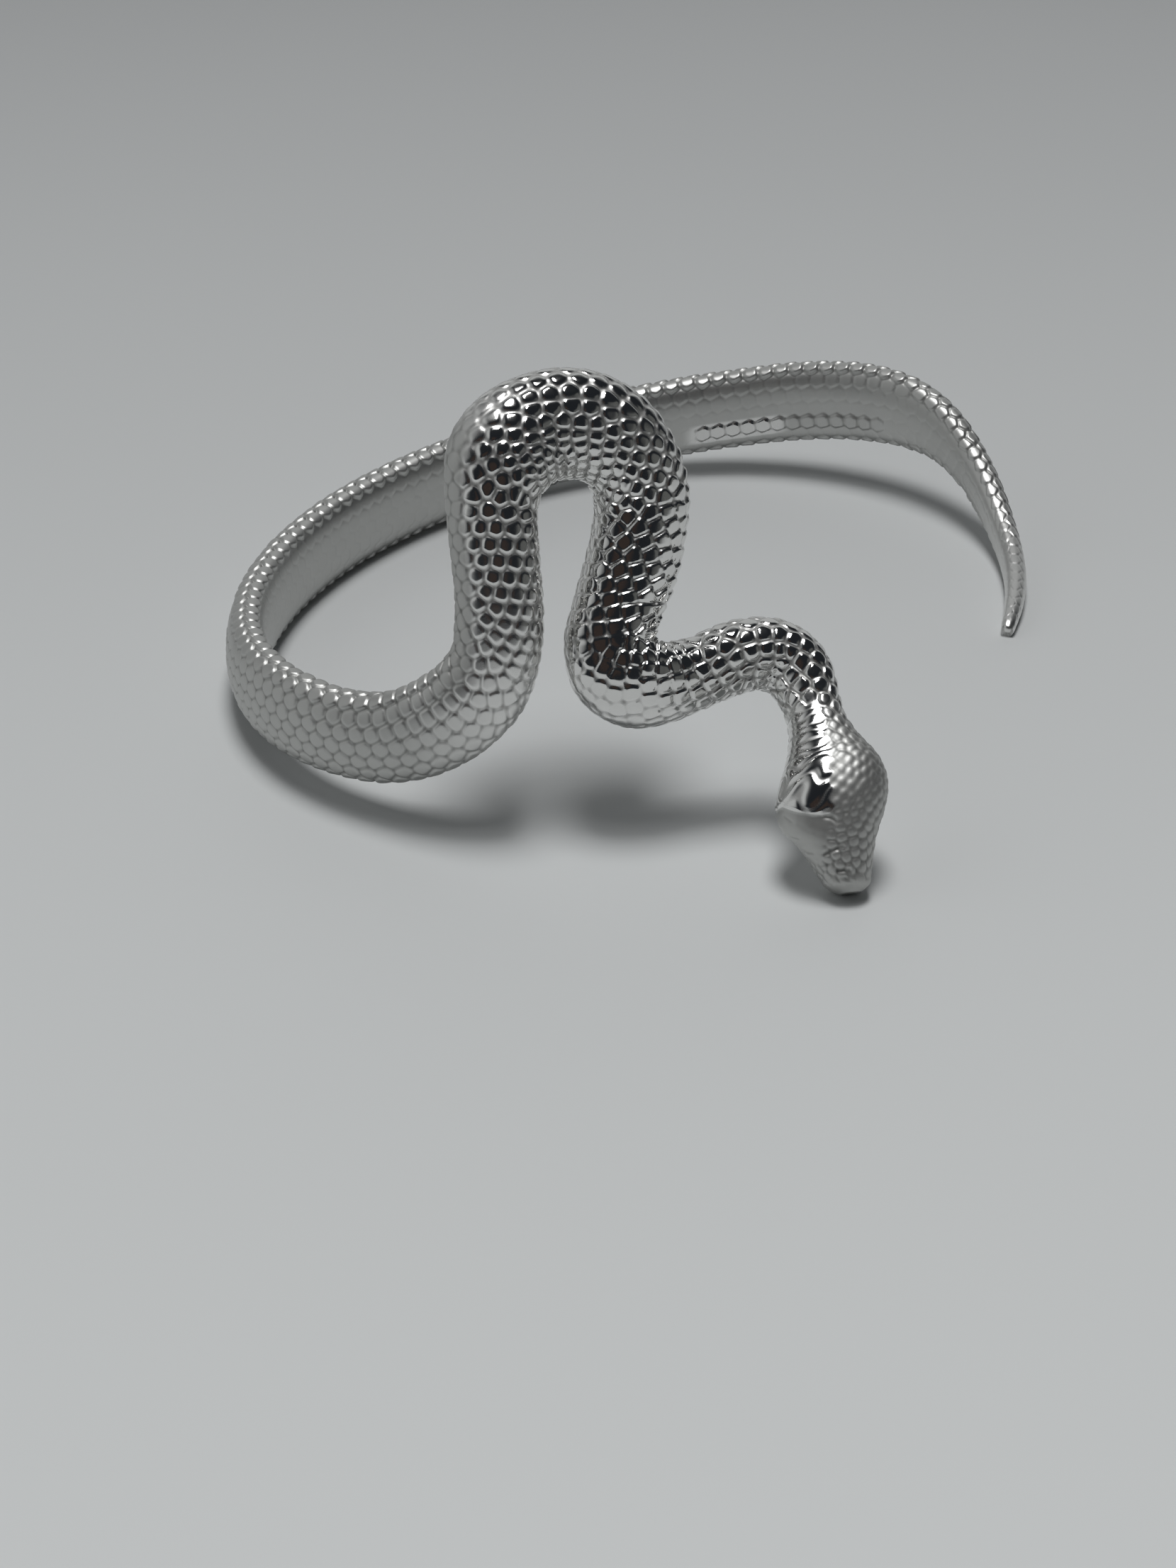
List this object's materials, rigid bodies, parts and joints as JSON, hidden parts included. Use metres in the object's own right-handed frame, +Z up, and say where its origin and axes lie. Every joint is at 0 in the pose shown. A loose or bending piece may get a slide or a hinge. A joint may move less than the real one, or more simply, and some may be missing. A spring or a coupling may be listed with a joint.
{
  "type": "snake cuff bracelet",
  "caption": "Open cuff bracelet in the form of a coiled snake with a standing loop, an outward neck and head and a tapering tail.",
  "frame": {"origin": "middle of the wrist opening, on the table that the cuff rests on", "axes": "+X along the long side of the wrist opening, -Y out through the mouth between head and tail, +Z up from the table"},
  "size_m": [0.0678, 0.0633, 0.0303],
  "materials": {
    "silver": "bright plated metal, polished over raised scales, with a few dark specks and worn spots"
  },
  "bodies": {
    "root": {"snake_cuff": "silver"}
  },
  "joints": []
}
